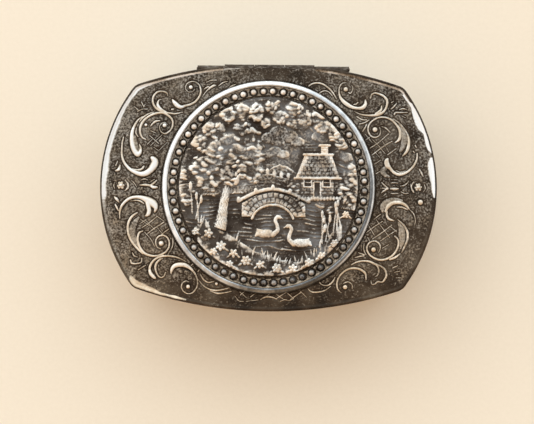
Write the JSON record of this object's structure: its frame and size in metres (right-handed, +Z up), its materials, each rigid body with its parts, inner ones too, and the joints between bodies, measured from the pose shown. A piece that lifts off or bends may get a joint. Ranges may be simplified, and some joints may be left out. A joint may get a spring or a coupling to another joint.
{
  "type": "trinket box",
  "caption": "Small bowed four-sided metal trinket box with a back hinge, an embossed scrolled lid, a beaded round medallion and a velvet lining.",
  "frame": {"origin": "centre of the base's underside, on the plane the box rests on", "axes": "+X along the box's length to the right, +Y to the back where the hinge is, +Z up through the lid"},
  "size_m": [0.076, 0.0564, 0.023],
  "materials": {
    "silver_plate_base": "silver plate with a brown patina, satin, worn brighter on the mouldings",
    "silver_plate_rim": "silver plate, worn bright on the crest and dark in the hollows",
    "silver_plate_patina": "silver plate with a dark brown-black patina in the ground and bright raised work",
    "hinge_metal": "plated brass, satin, darkened between the knuckles",
    "velvet": "deep red velvet, short pile",
    "backing_card": "plain card, matt"
  },
  "bodies": {
    "base": {"base_wall": "silver_plate_base", "base_bottom": "silver_plate_base", "base_lining_wall": "velvet", "base_lining_card": "backing_card", "base_lining_pad": "velvet", "hinge_base_leaf": "hinge_metal", "hinge_pin": "hinge_metal"},
    "lid": {"lid_band": "silver_plate_rim", "lid_panel": "silver_plate_patina", "medallion_bezel": "silver_plate_rim", "medallion_plaque": "silver_plate_patina", "lid_lining_card": "backing_card", "lid_lining_pad": "velvet", "hinge_lid_leaf": "hinge_metal"}
  },
  "joints": [
    {"name": "lid_hinge", "type": "hinge", "parent": "base", "child": "lid", "pos_m": [0, 0.0274, 0.01657], "axis": [-1, 0, 0], "range_deg": [0, 100]}
  ]
}
